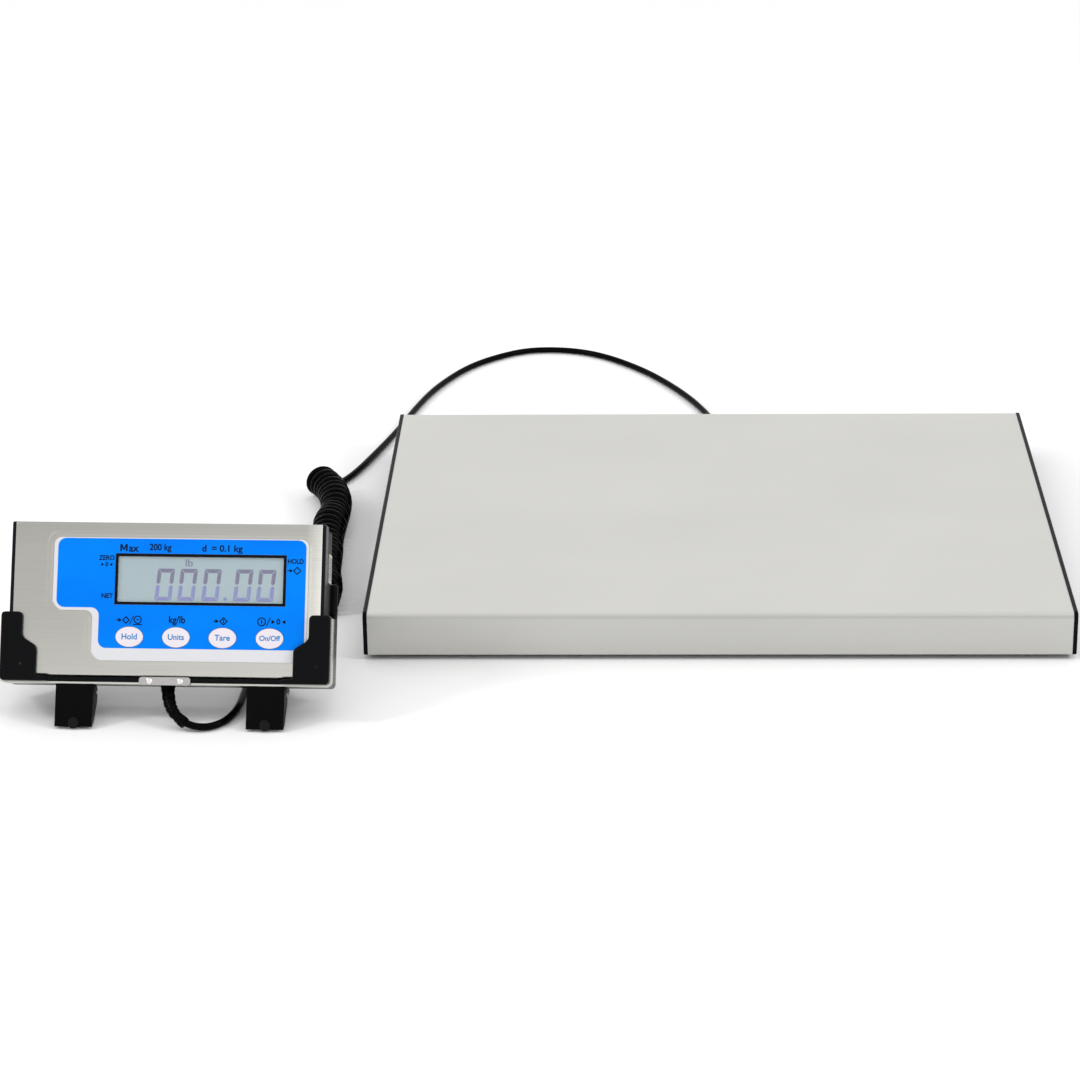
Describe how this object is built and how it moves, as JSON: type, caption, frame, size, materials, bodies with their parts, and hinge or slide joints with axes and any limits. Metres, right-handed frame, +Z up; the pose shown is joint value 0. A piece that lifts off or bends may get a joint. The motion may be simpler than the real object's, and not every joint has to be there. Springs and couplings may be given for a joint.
{
  "type": "platform shipping scale",
  "caption": "Low steel weighing platform on a coiled lead with a separate tilted indicator: steel face, display window, oval keys, plastic cradle and fold-out legs.",
  "frame": {"origin": "on the table, under the middle of the whole scale without its lead", "axes": "+X along the platform's long side, +Y away from the reader of the display, +Z up"},
  "size_m": [0.7402, 0.764, 0.1225],
  "materials": {
    "stainless": "brushed",
    "plated_steel": "satin",
    "painted_steel": "satin",
    "cell_aluminium": "satin",
    "polished_steel": "polished",
    "black_plastic": "fine grained",
    "navy_plastic": "fine grained",
    "white_plastic": "matte",
    "printed_film": "printed, satin",
    "key_plastic": "satin",
    "circuit_board": "lacquered",
    "clear_window": "clear",
    "display_glass": "grey green",
    "rubber": "matte",
    "lead_jacket": "satin",
    "battery_jacket": "satin"
  },
  "bodies": {
    "base": {"base_frame": "painted_steel", "rubber_feet": "rubber", "foot_fasteners": "plated_steel", "load_cell_front_left": "cell_aluminium", "load_cell_front_right": "cell_aluminium", "load_cell_back_left": "cell_aluminium", "load_cell_back_right": "cell_aluminium", "cell_spacers": "plated_steel", "cell_bolts": "plated_steel", "load_pads": "rubber", "inner_wires": "lead_jacket", "junction_board": "circuit_board", "junction_standoffs": "white_plastic", "terminal_strip": "black_plastic", "platform_gland": "black_plastic", "platform_gland_nut": "black_plastic", "front_shell": "stainless", "overlay_film": "printed_film", "window_bezel": "black_plastic", "display_window": "clear_window", "key_switches": "black_plastic", "display_glass": "display_glass", "display_holder": "white_plastic", "light_guide": "white_plastic", "main_board": "circuit_board", "board_posts": "white_plastic", "board_screws": "plated_steel", "end_cap_left": "navy_plastic", "end_cap_right": "navy_plastic", "rear_cover": "painted_steel", "cover_pillars": "white_plastic", "cover_screws": "plated_steel", "data_port": "plated_steel", "power_jack": "black_plastic", "battery_box": "black_plastic", "batteries": "battery_jacket", "cradle": "black_plastic", "cradle_strap": "stainless", "heel_pads": "rubber", "leg_pins": "plated_steel", "gland_plate": "polished_steel", "gland_plate_screws": "plated_steel", "indicator_gland": "black_plastic", "strain_relief": "black_plastic", "lead_platform_end": "lead_jacket", "lead_coil": "lead_jacket", "lead_indicator_end": "lead_jacket"},
    "pan": {"pan_skin": "stainless", "pan_frame": "painted_steel", "trim_left": "black_plastic", "trim_right": "black_plastic"},
    "key_hold_cap": {"key_hold": "key_plastic"},
    "key_units_cap": {"key_units": "key_plastic"},
    "key_tare_cap": {"key_tare": "key_plastic"},
    "key_power_cap": {"key_power": "key_plastic"},
    "left_leg": {"leg_left": "painted_steel", "leg_foot_left": "rubber"},
    "right_leg": {"leg_right": "painted_steel", "leg_foot_right": "rubber"},
    "rear_door": {"battery_door": "black_plastic"}
  },
  "joints": [
    {"name": "pan_travel", "type": "slide", "parent": "base", "child": "pan", "axis": [0, 0, 1], "range_m": [-0.0006, 0], "stiffness_N_per_m": 400000, "springref_m": 0.0001, "deforming": ["load_pads"]},
    {"name": "key_hold_press", "type": "slide", "parent": "base", "child": "key_hold_cap", "axis": [0.0302, 0.8655, -0.5], "range_m": [0, 0.00035], "stiffness_N_per_m": 400, "springref_m": -0.0003},
    {"name": "key_units_press", "type": "slide", "parent": "base", "child": "key_units_cap", "axis": [0.0302, 0.8655, -0.5], "range_m": [0, 0.00035], "stiffness_N_per_m": 400, "springref_m": -0.0003},
    {"name": "key_tare_press", "type": "slide", "parent": "base", "child": "key_tare_cap", "axis": [0.0302, 0.8655, -0.5], "range_m": [0, 0.00035], "stiffness_N_per_m": 400, "springref_m": -0.0003},
    {"name": "key_power_press", "type": "slide", "parent": "base", "child": "key_power_cap", "axis": [0.0302, 0.8655, -0.5], "range_m": [0, 0.00035], "stiffness_N_per_m": 400, "springref_m": -0.0003},
    {"name": "left_leg_fold", "type": "hinge", "parent": "base", "child": "left_leg", "pos_m": [-0.31738, -0.23078, 0.01747], "axis": [0.9994, -0.0349, 0], "range_deg": [0, 90]},
    {"name": "right_leg_fold", "type": "hinge", "parent": "base", "child": "right_leg", "pos_m": [-0.18716, -0.23533, 0.01747], "axis": [0.9994, -0.0349, 0], "range_deg": [0, 90]},
    {"name": "battery_door_slide", "type": "slide", "parent": "base", "child": "rear_door", "axis": [0.0175, 0.4997, 0.866], "range_m": [0, 0.05]}
  ]
}
